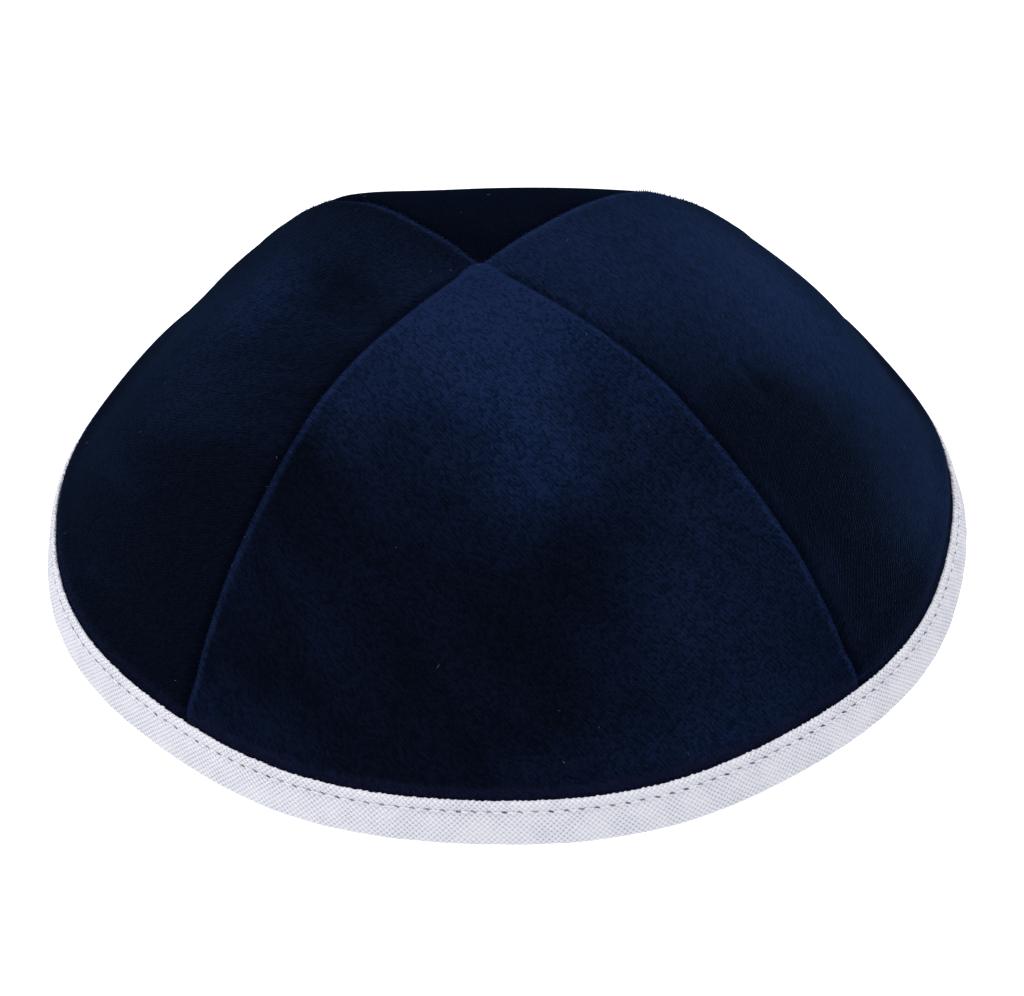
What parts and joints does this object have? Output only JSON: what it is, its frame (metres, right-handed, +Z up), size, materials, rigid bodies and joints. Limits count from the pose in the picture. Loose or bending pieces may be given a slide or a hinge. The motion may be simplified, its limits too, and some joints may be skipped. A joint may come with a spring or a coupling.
{
  "type": "kippah skullcap",
  "caption": "Shallow domed skullcap of four curved velvet panels whose seams meet at the crown, with a folded linen tape round the rim.",
  "frame": {"origin": "under the middle of the rim, on the surface that the rim rests on", "axes": "+Z up towards the crown, -Y towards the middle of the front panel, +X towards the right panel"},
  "size_m": [0.1717, 0.1719, 0.0577],
  "materials": {
    "navy_velvet": "dense short-pile velvet, deep navy, soft sheen at grazing angles",
    "white_linen": "plain-woven white linen tape cut on the bias, matt, with one row of stitches"
  },
  "bodies": {
    "root": {"panel_front": "navy_velvet", "panel_right": "navy_velvet", "panel_back": "navy_velvet", "panel_left": "navy_velvet", "rim_binding": "white_linen"}
  },
  "joints": []
}
